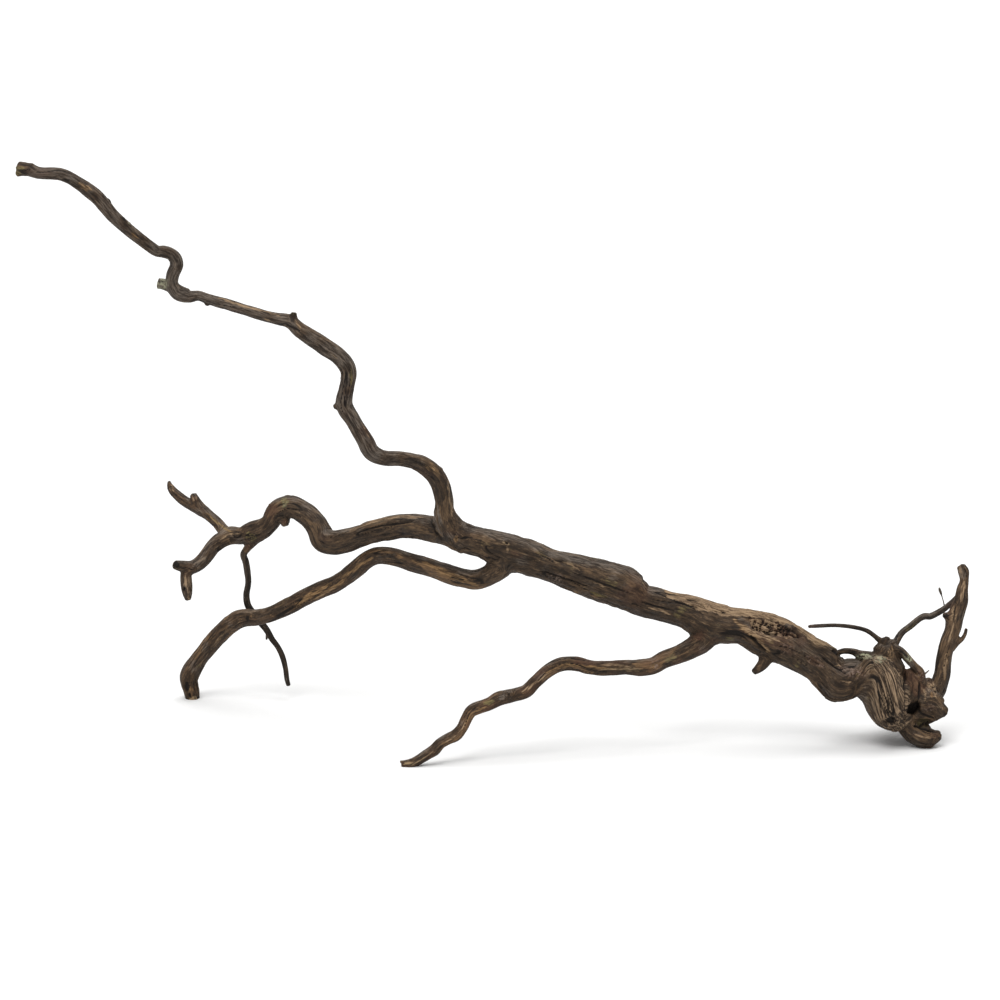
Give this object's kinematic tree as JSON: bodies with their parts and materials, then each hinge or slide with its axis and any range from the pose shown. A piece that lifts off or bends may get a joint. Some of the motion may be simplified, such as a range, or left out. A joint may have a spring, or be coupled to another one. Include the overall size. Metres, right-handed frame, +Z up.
{
  "type": "spider wood branch",
  "caption": "Gnarled, branching piece of dark dead root wood that stands on its feet, with a knotted root crown at one end and crooked tapering branches at the other.",
  "frame": {"origin": "bottom centre of the whole piece's box, on the surface that it stands on", "axes": "+X from the branch tips towards the root crown, +Y away from the viewer towards the two rear branches, +Z up"},
  "size_m": [0.5642, 0.1853, 0.3553],
  "materials": {
    "bark": "rough",
    "worn_bark": "rough",
    "dark_twig": "rough"
  },
  "bodies": {
    "root": {"trunk": "bark", "upper_branch": "bark", "middle_branch": "bark", "middle_fork": "worn_bark", "hanging_twig": "dark_twig", "lower_branch": "worn_bark", "front_branch": "worn_bark", "upright_branch": "bark", "left_rootlet": "dark_twig", "right_rootlet": "dark_twig"}
  },
  "joints": []
}
